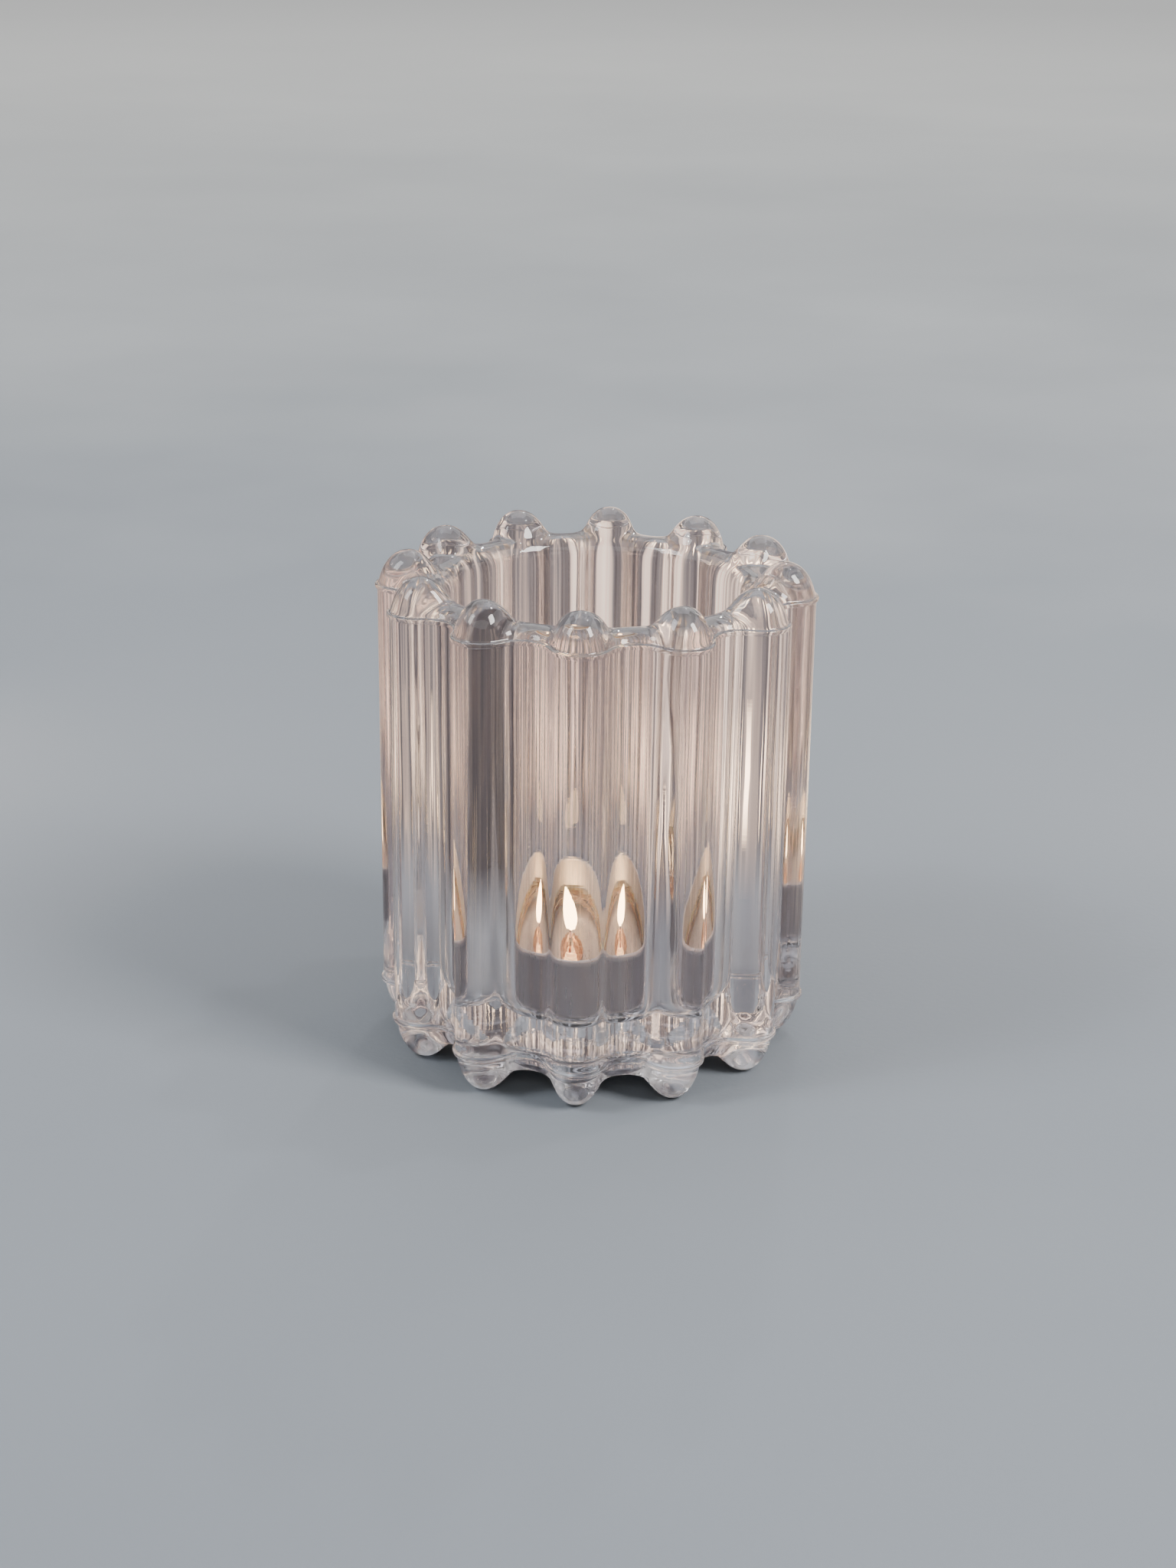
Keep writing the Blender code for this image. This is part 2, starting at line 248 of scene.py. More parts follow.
# ---- the fluted glass ----------------------------------------------------------------------
def flute_plan():
    """Plan of one flute: for each line, its point, outward normal, bearing and sideways place."""
    half = FLUTE_ANGLE / 2.0
    inset = VALLEY_RADIUS - FLUTE_RING * math.cos(half)
    side = FLUTE_RING * math.sin(half)
    valley_round = (inset ** 2 + side ** 2 - FLUTE_ROUND ** 2) / (2.0 * (FLUTE_ROUND - inset))
    valley_ring = VALLEY_RADIUS + valley_round
    centre = Vector((valley_ring * math.cos(half), valley_ring * math.sin(half)))
    arc_end = math.atan2(centre.y, centre.x - FLUTE_RING)
    join = math.atan2(
        FLUTE_ROUND * math.sin(arc_end), FLUTE_RING + FLUTE_ROUND * math.cos(arc_end))
    lines = []
    for line in range(-HALF_STEPS, HALF_STEPS + 1):
        count = abs(line)
        sign = -1.0 if line < 0 else 1.0
        if count <= COLUMN_STEPS:
            share = count / COLUMN_STEPS
            angle = arc_end * share
            out = Vector((math.cos(angle), math.sin(angle)))
            point = Vector((FLUTE_RING, 0.0)) + out * FLUTE_ROUND
            bearing = join * share
        else:
            share = (count - COLUMN_STEPS) / VALLEY_STEPS
            angle = math.pi + half + (arc_end - half) * (1.0 - share)
            spoke = Vector((math.cos(angle), math.sin(angle)))
            out = -spoke
            point = centre + spoke * valley_round
            bearing = join + (half - join) * share
        sideways = 0.5 * (point.y + BORE_TOP * math.sin(bearing))
        lines.append({
            "point": Vector((point.x, sign * point.y)),
            "out": Vector((out.x, sign * out.y)),
            "bearing": sign * bearing,
            "sideways": min(1.0, sideways / DOME_HALF_WIDTH),
        })
    return lines


def soft_max(first, second):
    """The greater of two heights, with a small fillet where they meet."""
    return BLEND * math.log(math.exp(first / BLEND) + math.exp(second / BLEND))


def end_height(place, dome, rim, inner_radius, drop):
    """Height over the mould line at a place in plan: a ball sitting on a rounded rim."""
    away = Vector((place.x - RIDGE_RADIUS, place.y)).length / DOME_HALF_WIDTH
    ball = dome * math.sqrt(max(0.0, 1.0 - away ** 2)) if away < 1.0 else -drop
    short = max(0.0, 1.0 - (place.length - inner_radius) / RIM_ROUND)
    crown = -drop + (rim + drop) * math.sqrt(max(0.0, 1.0 - short ** 2))
    return min(dome, soft_max(ball, crown))


def bore_point(line, radius):
    """A point of the round cavity, or of the round hollow underneath."""
    return Vector((radius * math.cos(line["bearing"]), radius * math.sin(line["bearing"])))


def ridge_point(line, inner_radius):
    """The crest between the cavity and the outside."""
    outer = line["point"]
    inner = bore_point(line, inner_radius)
    column = (RIDGE_RADIUS - inner_radius) / (OUTER_RADIUS - inner_radius)
    share = 0.5 + (column - 0.5) * max(0.0, 1.0 - line["sideways"] ** 2)
    return inner.lerp(outer, share)


def glass_rings():
    """The cage, ring by ring, from the cavity's floor over the domes and down to the hollow."""
    lines = flute_plan()
    edge = math.radians(80.0)
    upper = GLASS_HEIGHT - TOP_DOME
    lower = FOOT_DOME
    rings = []

    def even(radius, height):
        rings.append([(*bore_point(line, radius), height) for line in lines])

    def wall(height, inset=0.0):
        rings.append([(*(line["point"] - line["out"] * inset), height) for line in lines])

    def inner_lip(share, radius, height_at):
        ring = []
        for line in lines:
            place = ridge_point(line, radius).lerp(bore_point(line, radius), share)
            ring.append((*place, height_at(place)))
        rings.append(ring)

    def outer_lip(angle, radius, base, height_at):
        ring = []
        for line in lines:
            start = line["point"] - line["out"] * MOULD_LEDGE
            ridge = ridge_point(line, radius)
            place = ridge.lerp(start, math.sin(angle) / math.sin(edge))
            rise = (math.cos(angle) - math.cos(edge)) / (1.0 - math.cos(edge))
            ring.append((*place, base + (height_at(ridge) - base) * rise))
        rings.append(ring)

    def dome_top(place):
        return upper + end_height(
            place, TOP_DOME, TOP_RIM, BORE_TOP, LIP_DEPTH - TOP_DOME)

    def foot_tip(place):
        return lower - end_height(
            place, FOOT_DOME, BASE_RIM, RECESS_RADIUS, RECESS_ROOF - lower)

    even(BORE_BOTTOM * 0.55, CAVITY_FLOOR)
    even(BORE_BOTTOM - CAVITY_FILLET, CAVITY_FLOOR)
    for degrees in (35.0, 65.0, 90.0):
        angle = math.radians(degrees)
        even(
            BORE_BOTTOM - CAVITY_FILLET * (1.0 - math.sin(angle)),
            CAVITY_FLOOR + CAVITY_FILLET * (1.0 - math.cos(angle)))
    even(BORE_BOTTOM + 0.0001, CAVITY_FLOOR + 0.0060)
    even(0.5 * (BORE_BOTTOM + BORE_TOP), 0.5 * GLASS_HEIGHT)
    lip_base = GLASS_HEIGHT - LIP_DEPTH
    even(BORE_TOP, lip_base - 0.0040)
    for share in (1.0, 0.94, 0.84, 0.72, 0.60, 0.46, 0.30, 0.15, 0.0):
        inner_lip(share, BORE_TOP, dome_top)
    for degrees in (22.0, 44.0, 64.0, 80.0):
        outer_lip(math.radians(degrees), BORE_TOP, upper + 0.0001, dome_top)
    wall(upper + 0.00002, 0.5 * MOULD_LEDGE)
    wall(upper)
    wall(upper - 0.00062)
    wall(upper - 0.00066, MOULD_BEAD)
    wall(upper - 0.00080, MOULD_BEAD)
    wall(upper - 0.00150, MOULD_BEAD)
    wall(0.64 * GLASS_HEIGHT, MOULD_BEAD)
    wall(0.32 * GLASS_HEIGHT, MOULD_BEAD)
    wall(lower + 0.00150, MOULD_BEAD)
    wall(lower + 0.00080, MOULD_BEAD)
    wall(lower + 0.00066, MOULD_BEAD)
    wall(lower + 0.00062)
    wall(lower)
    wall(lower - 0.00002, 0.5 * MOULD_LEDGE)
    for degrees in (80.0, 64.0, 44.0, 22.0):
        outer_lip(math.radians(degrees), RECESS_RADIUS, lower - 0.0001, foot_tip)
    for share in (0.0, 0.2, 0.4, 0.6, 0.8, 0.93, 1.0):
        inner_lip(share, RECESS_RADIUS, foot_tip)
    even(RECESS_RADIUS - 0.0012, RECESS_ROOF)
    even(RECESS_RADIUS * 0.55, RECESS_ROOF)
    return rings


def build_glass():
    """Model one flute as a strip, carry it round the glass, close it and smooth it."""
    rings = glass_rings()
    leave_edit()
    bpy.ops.mesh.primitive_circle_add(
        vertices=FLUTES * 2 * HALF_STEPS, radius=BORE_BOTTOM, fill_type="NOTHING",
        location=(0.0, 0.0, CAVITY_FLOOR))
    piece, shape = open_edit("fluted_glass")
    reach = FLUTE_ANGLE / 2.0 + 0.001
    pick(piece, shape, lambda v: abs(math.atan2(v.co.y, v.co.x)) > reach)
    bpy.ops.mesh.delete(type="VERT")
    for number, ring in enumerate(rings):
        if number:
            bpy.ops.mesh.select_all(action="DESELECT")
            shape = bmesh.from_edit_mesh(piece.data)
            newest = set(last)
            pick(piece, shape, lambda v: v.index in newest)
            bpy.ops.mesh.extrude_edges_move(TRANSFORM_OT_translate={"value": (0.0, 0.0, 0.0004)})
            shape = bmesh.from_edit_mesh(piece.data)
            row = [v for v in shape.verts if v.select]
        else:
            shape = bmesh.from_edit_mesh(piece.data)
            row = list(shape.verts)
        shape.verts.index_update()
        row.sort(key=lambda v: math.atan2(v.co.y, v.co.x))
        for vertex, place in zip(row, ring):
            vertex.co = Vector(place)
        last = [v.index for v in row]
        bmesh.update_edit_mesh(piece.data)
    bpy.ops.mesh.select_all(action="SELECT")
    bpy.ops.mesh.spin(
        steps=FLUTES, angle=2.0 * math.pi, dupli=True, center=(0.0, 0.0, 0.0), axis=(0.0, 0.0, 1.0))
    bpy.ops.mesh.select_all(action="SELECT")
    bpy.ops.mesh.remove_doubles(threshold=0.00002)
    bpy.ops.mesh.normals_make_consistent(inside=False)
    bpy.ops.object.mode_set(mode="OBJECT")
    round_off(piece, 2)
    close_discs(piece)
    bpy.ops.object.shade_smooth()
    return piece


def close_discs(piece):
    """Close the flat cavity floor and the flat roof of the hollow, each with a fan of faces."""
    for height in (CAVITY_FLOOR, RECESS_ROOF):
        bpy.ops.object.mode_set(mode="EDIT")
        shape = bmesh.from_edit_mesh(piece.data)
        rims = {v for edge in shape.edges if edge.is_boundary for v in edge.verts}
        pick(piece, shape, lambda v: v in rims and abs(v.co.z - height) < 0.001)
        bpy.ops.mesh.extrude_edges_move()
        bpy.ops.mesh.merge(type="CENTER")
        bpy.ops.mesh.select_all(action="SELECT")
        bpy.ops.mesh.normals_make_consistent(inside=False)
        bpy.ops.object.mode_set(mode="OBJECT")


def fit_glass(piece):
    """Bring the smoothed glass back to its exact height and width."""
    places = [v.co for v in piece.data.vertices]
    low = min(p.z for p in places)
    high = max(p.z for p in places)
    widest = max(math.hypot(p.x, p.y) for p in places)
    leave_edit()
    bpy.context.view_layer.objects.active = piece
    piece.select_set(True)
    bpy.ops.object.mode_set(mode="EDIT")
    bpy.ops.mesh.select_all(action="SELECT")
    move_selected((0.0, 0.0, -low))
    grow = 0.9995 * OUTER_RADIUS / widest
    bpy.ops.transform.resize(
        value=(grow, grow, GLASS_HEIGHT / (high - low)), center_override=(0.0, 0.0, 0.0))
    bpy.ops.object.mode_set(mode="OBJECT")


# ---- the tealight --------------------------------------------------------------------------
def build_cup():
    """Drawn aluminium cup with a rounded foot, faint pleats and a rolled rim."""
    corner = 0.00200
    outer = (CUP_RADIUS - corner, CUP_FOOT + corner)
    bead = (CUP_RADIUS - 0.00010, CUP_MOUTH - 0.00034)
    profile = [(0.0, CUP_FOOT + 0.00025), (0.0140, CUP_FOOT + 0.00025), (0.0150, CUP_FOOT)]
    profile += arc_points(outer, corner, -90.0, 0.0, 6)
    profile += [(CUP_RADIUS, CUP_FOOT + 0.0045), (CUP_RADIUS, CUP_MOUTH - 0.0012)]
    profile += arc_points(bead, 0.00030, -50.0, 215.0, 9)
    profile += [(CUP_RADIUS - CUP_WALL, CUP_MOUTH - 0.0012)]
    profile += arc_points(outer, corner - CUP_WALL, 0.0, -90.0, 5)
    profile += [(0.0, CUP_FOOT + 0.00025 + CUP_WALL)]
    piece = lathe("pressed_cup", profile, 180)
    bpy.ops.object.mode_set(mode="EDIT")
    shape = bmesh.from_edit_mesh(piece.data)
    pleat_low = CUP_FOOT + 0.0019
    pleat_high = CUP_MOUTH - 0.0010
    tooth = math.radians(4.0)

    def in_pleat(v):
        turn = math.atan2(v.co.y, v.co.x) / tooth
        return pleat_low < v.co.z < pleat_high and abs(turn - round(turn)) < 0.1

    pick(piece, shape, in_pleat)
    bpy.ops.transform.resize(value=(0.9975, 0.9975, 1.0), center_override=(0.0, 0.0, 0.0))
    bpy.ops.object.mode_set(mode="OBJECT")
    shift_piece(piece, (CANDLE_X, 0.0, 0.0))
    return piece


def build_wax():
    """The crust of unmelted wax left against the wall, drawn up where it clings to the metal."""
    wall = CUP_RADIUS - CUP_WALL - 0.00010
    floor = CUP_FOOT + 0.00070
    inner = POOL_RADIUS + 0.00004
    turn = wall - 0.0018
    profile = arc_points((turn, floor + 0.0018), 0.0018, -78.0, 0.0, 6)
    profile += eased([
        (wall, WAX_LEVEL + 0.00020),
        (wall - 0.00012, WAX_LEVEL + 0.00060),
        (wall - 0.00030, WAX_LEVEL + 0.00034),
        (inner + 0.00008, WAX_LEVEL + 0.00010),
        (inner, WAX_LEVEL - 0.00020),
        (inner, floor + 0.0022),
    ])
    profile += arc_points((turn, floor + 0.0018), inner - turn, 0.0, -70.0, 4)
    piece = lathe("wax_fill", profile, 120, closed=True)
    shift_piece(piece, (CANDLE_X, 0.0, 0.0))
    return piece


def build_pool():
    """Clear melted wax filling the cup, drawn up a little at the crust and at the wick."""
    floor = CUP_FOOT + 0.00062
    corner = 0.00165
    rim = POOL_RADIUS - 0.00002
    profile = [(0.0, floor), (0.0060, floor), (0.0120, floor)]
    profile += arc_points((rim - corner, floor + corner), corner, -90.0, 0.0, 6)
    profile += eased([
        (rim, WAX_LEVEL + 0.00006),
        (rim - 0.00030, WAX_LEVEL - 0.00008),
        (rim - 0.00120, WAX_LEVEL - 0.00018),
        (0.5 * POOL_RADIUS, WAX_LEVEL - 0.00020),
        (0.0022, WAX_LEVEL - 0.00016),
        (0.0010, WAX_LEVEL + 0.00024),
    ]) + [(0.0, WAX_LEVEL + 0.00036)]
    piece = lathe("melted_pool", profile, 120)
    shift_piece(piece, (CANDLE_X, 0.0, 0.0))
    return piece


def build_sustainer():
    """Stamped plate with a raised ring and a pinched neck round the wick."""
    base = CUP_FOOT + 0.00080
    profile = [(0.00072, base)]
    profile += eased([
        (0.0052, base),
        (0.0054, base + 0.00015),
        (0.0052, base + 0.00030),
        (0.0044, base + 0.00030),
        (0.0040, base + 0.00062),
        (0.0034, base + 0.00066),
        (0.0029, base + 0.00034),
        (0.0020, base + 0.00032),
        (0.0014, base + 0.00060),
        (0.0012, base + 0.00180),
        (0.00110, base + 0.00290),
        (0.00092, base + 0.00305),
        (0.00072, base + 0.00290),
    ], 2)
    piece = lathe("wick_plate", profile, 40, closed=True)
    shift_piece(piece, (CANDLE_X, 0.0, 0.0))
    return piece


def build_wick():
    """Braided wick, curled over and charred where it burns."""
    leave_edit()
    foot = CUP_FOOT + 0.00100
    bpy.ops.mesh.primitive_circle_add(
        vertices=14, radius=WICK_RADIUS, fill_type="NGON", location=(0.0, 0.0, foot))
    piece, shape = open_edit("burnt_wick")
    bpy.ops.mesh.select_all(action="SELECT")
    steps = 14
    reach = wick_high.z - foot - 0.0004
    for step in range(steps):
        share = (step + 1) / steps
        lean = 0.00012 * share * share
        bpy.ops.mesh.extrude_region_move(
            TRANSFORM_OT_translate={"value": (lean, lean * 0.4, reach / steps)})
        grow = 1.10 if step % 2 else 0.90
        if step == steps - 1:
            grow = 0.45
        bpy.ops.transform.resize(value=(grow, grow, 1.0))
        bpy.ops.transform.rotate(
            value=0.30, orient_axis="Z", center_override=(lean * step * 0.4, 0.0, 0.0))
    close_piece(piece)
    round_off(piece, 2)
    shift_piece(piece, (CANDLE_X, 0.0, 0.0))
    return piece


def build_flame():
    """Teardrop flame, leaning with the draught."""
    foot = FLAME_FOOT
    outline = (
        (0.0, 0.0), (0.32, 0.012), (0.66, 0.06), (0.90, 0.15), (1.0, 0.27), (0.97, 0.41),
        (0.83, 0.56), (0.61, 0.71), (0.38, 0.84), (0.17, 0.94), (0.0, 1.0))
    profile = [(r * FLAME_RADIUS, foot + t * FLAME_HEIGHT) for r, t in outline]
    piece = lathe("candle_flame", profile, 32)
    bpy.ops.object.mode_set(mode="EDIT")
    shape = bmesh.from_edit_mesh(piece.data)
    heights = sorted({round(v.co.z, 6) for v in shape.verts})
    for height in heights:
        share = max(0.0, (height - foot) / FLAME_HEIGHT)
        shape = bmesh.from_edit_mesh(piece.data)
        pick(piece, shape, lambda v: abs(v.co.z - height) < 0.00001)
        move_selected((-0.0006 + 0.0028 * share ** 1.2, 0.0, 0.0))
    bpy.ops.object.mode_set(mode="OBJECT")
    round_off(piece, 2)
    shift_piece(piece, (CANDLE_X + 0.0004, 0.0, 0.0))
    return piece


# ---- shared effects ------------------------------------------------------------------------
def add_node(tree, kind, **values):
    """Add a node; plain names set its properties, and inputs are set by a dict."""
    node = tree.nodes.new(kind)
    for socket, value in values.pop("inputs", {}).items():
        node.inputs[socket].default_value = value
    for name, value in values.items():
        setattr(node, name, value)
    return node


def make_group(name, inputs, outputs):
    """An empty shader node group with its sockets."""
    group = bpy.data.node_groups.new(name, "ShaderNodeTree")
    for label, kind, value in inputs:
        socket = group.interface.new_socket(name=label, in_out="INPUT", socket_type=kind)
        if value is not None:
            socket.default_value = value
    for label, kind in outputs:
        group.interface.new_socket(name=label, in_out="OUTPUT", socket_type=kind)
    return group, group.nodes.new("NodeGroupInput"), group.nodes.new("NodeGroupOutput")


def make_mottle():
    """Soft cloudy variation between two values."""
    group, start, end = make_group(
        "soft_mottle",
        [("Vector", "NodeSocketVector", None), ("Scale", "NodeSocketFloat", 100.0),
         ("Low", "NodeSocketFloat", 0.0), ("High", "NodeSocketFloat", 1.0)],
        [("Value", "NodeSocketFloat")])
    noise = add_node(group, "ShaderNodeTexNoise", inputs={"Detail": 3.0, "Roughness": 0.55})
    spread = add_node(
        group, "ShaderNodeMapRange", inputs={"From Min": 0.32, "From Max": 0.68})
    group.links.new(start.outputs["Vector"], noise.inputs["Vector"])
    group.links.new(start.outputs["Scale"], noise.inputs["Scale"])
    group.links.new(noise.outputs["Fac"], spread.inputs["Value"])
    group.links.new(start.outputs["Low"], spread.inputs["To Min"])
    group.links.new(start.outputs["High"], spread.inputs["To Max"])
    group.links.new(spread.outputs["Result"], end.inputs["Value"])
    return group


def make_drawn_lines():
    """Fine upright lines left by drawing or pressing, as a height."""
    group, start, end = make_group(
        "drawn_lines",
        [("Vector", "NodeSocketVector", None), ("Across", "NodeSocketFloat", 900.0),
         ("Along", "NodeSocketFloat", 25.0)],
        [("Height", "NodeSocketFloat")])
    size = add_node(group, "ShaderNodeCombineXYZ")
    stretch = add_node(group, "ShaderNodeVectorMath", operation="MULTIPLY")
    noise = add_node(
        group, "ShaderNodeTexNoise", inputs={"Scale": 1.0, "Detail": 2.0, "Roughness": 0.5})
    group.links.new(start.outputs["Across"], size.inputs["X"])
    group.links.new(start.outputs["Across"], size.inputs["Y"])
    group.links.new(start.outputs["Along"], size.inputs["Z"])
    group.links.new(start.outputs["Vector"], stretch.inputs[0])
    group.links.new(size.outputs["Vector"], stretch.inputs[1])
    group.links.new(stretch.outputs["Vector"], noise.inputs["Vector"])
    group.links.new(noise.outputs["Fac"], end.inputs["Height"])
    return group


def place_group(tree, group, vector, values):
    """Place a shared effect in a material with its own values and give its result."""
    node = tree.nodes.new("ShaderNodeGroup")
    node.node_tree = group
    for socket, value in values.items():
        node.inputs[socket].default_value = value
    tree.links.new(vector, node.inputs["Vector"])
    return node.outputs[0]


def feed(tree, socket, value):
    """Link an output to a socket, or set the socket to a constant."""
    if isinstance(value, bpy.types.NodeSocket):
        tree.links.new(value, socket)
    elif isinstance(value, tuple) and len(value) == 3 and socket.type == "RGBA":
        socket.default_value = (*value, 1.0)
    else:
        socket.default_value = value


def mix_colours(tree, share, first, second):
    """Blend from the first colour to the second."""
    node = add_node(tree, "ShaderNodeMix", data_type="RGBA")
    for number, value in ((0, share), (6, first), (7, second)):
        feed(tree, node.inputs[number], value)
    return node.outputs[2]


def combine(tree, operation, *values):
    """Work one sum on plain values."""
    node = add_node(tree, "ShaderNodeMath", operation=operation)
    for socket, value in zip(node.inputs, values):
        feed(tree, socket, value)
    return node.outputs["Value"]


def combine_vectors(tree, operation, *values):
    """Work one sum on vectors."""
    node = add_node(tree, "ShaderNodeVectorMath", operation=operation)
    for socket, value in zip(node.inputs, values):
        feed(tree, socket, value)
    return node.outputs["Value" if operation == "LENGTH" else "Vector"]


def scale_colour(tree, colour, amount):
    """Brighten or dim a colour."""
    node = add_node(tree, "ShaderNodeVectorMath", operation="SCALE")
    tree.links.new(colour, node.inputs["Vector"])
    tree.links.new(amount, node.inputs["Scale"])
    return node.outputs["Vector"]


def cloud_value(tree, vector, **values):
    """Plain noise over a vector."""
    named = {label.capitalize(): value for label, value in values.items()}
    noise = add_node(tree, "ShaderNodeTexNoise", inputs=named)
    tree.links.new(vector, noise.inputs["Vector"])
    return noise.outputs["Fac"]


def new_material(name, values):
    """A Principled material with its plain sockets set."""
    material = bpy.data.materials.new(name)
    material.use_nodes = True
    tree = material.node_tree
    shader = tree.nodes["Principled BSDF"]
    for socket, value in values.items():
        shader.inputs[socket].default_value = value
    coordinates = tree.nodes.new("ShaderNodeTexCoord")
    return material, tree, shader, coordinates.outputs["Object"]


def bump_from(tree, shader, height, strength, distance):
    """Feed a height into the shader's normal."""
    bump = add_node(
        tree, "ShaderNodeBump", inputs={"Strength": strength, "Distance": distance})
    tree.links.new(height, bump.inputs["Height"])
    tree.links.new(bump.outputs["Normal"], shader.inputs["Normal"])


def colour_ramp(tree, value, stops):
    """Colours along a value."""
    ramp = tree.nodes.new("ShaderNodeValToRGB")
    while len(ramp.color_ramp.elements) < len(stops):
        ramp.color_ramp.elements.new(0.5)
    for element, (place, colour) in zip(ramp.color_ramp.elements, stops):
        element.position = place
        element.color = (*colour, 1.0)
    tree.links.new(value, ramp.inputs["Fac"])
    return ramp.outputs["Color"]


def spread_value(tree, value, low, high, to_low=0.0, to_high=1.0):
    """Map a value from one span to another."""
    node = add_node(
        tree, "ShaderNodeMapRange",
        inputs={"From Min": low, "From Max": high, "To Min": to_low, "To Max": to_high})
    tree.links.new(value, node.inputs["Value"])
    return node.outputs["Result"]


def radius_about_candle(tree, vector):
    """Distance from the candle's upright axis."""
    centred = combine_vectors(tree, "SUBTRACT", vector, (CANDLE_X, 0.0, 0.0))
    flat = combine_vectors(tree, "MULTIPLY", centred, (1.0, 1.0, 0.0))
    return combine_vectors(tree, "LENGTH", flat)


def height_of(tree, vector):
    """Height above the table."""
    parts = tree.nodes.new("ShaderNodeSeparateXYZ")
    tree.links.new(vector, parts.inputs["Vector"])
    return parts.outputs["Z"]


# ---- materials -----------------------------------------------------------------------------
def glass_material(mottle, lines):
    """Clear pressed glass: drawn waves, smudges, a rose tint streaked with painted shade and painted
    warm light, and in its foot streaks of painted shade and light and a painted cool glow.
    """
    material, tree, shader, place = new_material(
        "clear_pressed_glass", {
            "IOR": 1.50, "Transmission Weight": 0.96, "Metallic": 0.0, "Emission Strength": 1.0})
    # Base colour: a rose tint whose darker and peach streaks are painted shade and painted warm
    # light.
    tint = place_group(tree, lines, place, {"Across": 270.0, "Along": 7.0})
    colour = colour_ramp(
        tree, tint,
        [(0.0, (0.50, 0.44, 0.46)), (0.38, (0.74, 0.67, 0.685)), (0.46, (0.915, 0.832, 0.830)),
         (0.56, (0.970, 0.890, 0.875)), (0.64, (1.0, 0.895, 0.845)), (1.0, (1.0, 0.92, 0.88))])
    # In the foot the tint turns to dark and pale bands: painted shade and painted light.
    foot_lines = place_group(tree, lines, place, {"Across": 230.0, "Along": 40.0})
    foot_painted_streaks = colour_ramp(
        tree, foot_lines,
        [(0.0, (0.26, 0.24, 0.27)), (0.43, (0.50, 0.47, 0.51)), (0.49, (0.90, 0.90, 0.95)),
         (0.56, (1.0, 1.0, 1.0)), (1.0, (1.0, 1.0, 1.0))])
    foot = spread_value(tree, height_of(tree, place), FOOT_DOME, FOOT_DOME + 0.0022, 1.0, 0.0)
    tree.links.new(mix_colours(tree, foot, colour, foot_painted_streaks), shader.inputs["Base Color"])
    # Painted light: the foot glows faintly cool in streaks, though the glass is no lamp.
    painted_foot_glow = colour_ramp(
        tree, foot_lines,
        [(0.0, (0.0, 0.0, 0.0)), (0.54, (0.0, 0.0, 0.0)), (0.60, (0.05, 0.053, 0.06)),
         (0.68, (0.17, 0.176, 0.20)), (1.0, (0.22, 0.228, 0.26))])
    tree.links.new(scale_colour(tree, painted_foot_glow, foot), shader.inputs["Emission Color"])
    smudge = place_group(tree, mottle, place, {"Scale": 110.0, "Low": -0.03, "High": 0.018})
    clean = spread_value(tree, smudge, 0.0, 0.018, 0.0, 0.018)
    tree.links.new(clean, shader.inputs["Roughness"])
    waves = place_group(tree, lines, place, {"Across": 420.0, "Along": 34.0})
    ripples = place_group(tree, lines, place, {"Across": 70.0, "Along": 1900.0})
    both = combine(tree, "MULTIPLY_ADD", ripples, RIPPLE_SHARE, waves)
    bump_from(tree, shader, both, 0.35, 0.00013)
    return material


def aluminium_material(mottle, lines):
    """Thin drawn aluminium: upright drawing lines, a cloudy satin, and painted shade on the outside
    below the rolled rim.
    """
    material, tree, shader, place = new_material(
        "drawn_aluminium", {"Metallic": 1.0, "Anisotropic": 0.35})
    cloud = place_group(tree, mottle, place, {"Scale": 260.0, "Low": 0.0, "High": 1.0})
    colour = colour_ramp(
        tree, cloud, [(0.0, (0.66, 0.66, 0.67)), (1.0, (0.80, 0.80, 0.80))])
    # Painted shade: the outside of the cup below the rolled rim is painted dark grey, and the rim
    # keeps the plain metal colour.
    outside = spread_value(
        tree, radius_about_candle(tree, place), CUP_RADIUS - CUP_WALL, CUP_RADIUS - 0.00006)
    painted_shade_below_rim = spread_value(
        tree, height_of(tree, place), CUP_MOUTH - 0.0011, CUP_MOUTH - 0.0006, 1.0, 0.0)
    dark = combine(tree, "MULTIPLY", outside, painted_shade_below_rim)
    shade = mix_colours(tree, dark, colour, (0.40, 0.40, 0.42))
    tree.links.new(shade, shader.inputs["Base Color"])
    drawn = place_group(tree, lines, place, {"Across": 3200.0, "Along": 60.0})
    rough = spread_value(tree, drawn, 0.3, 0.7, 0.24, 0.42)
    tree.links.new(rough, shader.inputs["Roughness"])
    bump_from(tree, shader, drawn, 0.25, 0.00006)
    return material


def wax_material(mottle):
    """Paraffin: creamy where solid, warm and see-through towards the melted part."""
    material, tree, shader, place = new_material(
        "paraffin", {
            "Subsurface Weight": 0.55, "Subsurface Scale": 0.004, "IOR": 1.44,
            "Subsurface Radius": (1.0, 0.62, 0.36)})
    reach = radius_about_candle(tree, place)
    share = spread_value(tree, reach, 0.0, CUP_RADIUS)
    cloud = place_group(tree, mottle, place, {"Scale": 700.0, "Low": -0.02, "High": 0.02})
    edge = POOL_RADIUS / CUP_RADIUS
    colour = colour_ramp(
        tree, combine(tree, "ADD", share, cloud),
        [(0.0, (0.70, 0.46, 0.26)), (edge, (0.66, 0.38, 0.17)),
         (edge + 0.012, (0.86, 0.62, 0.38)), (1.0, (0.93, 0.78, 0.56))])
    tree.links.new(colour, shader.inputs["Base Color"])
    rough = spread_value(tree, share, edge - 0.03, edge + 0.06, 0.12, 0.38)
    tree.links.new(rough, shader.inputs["Roughness"])
    bump_from(tree, shader, cloud, 0.5, 0.0015)
    return material


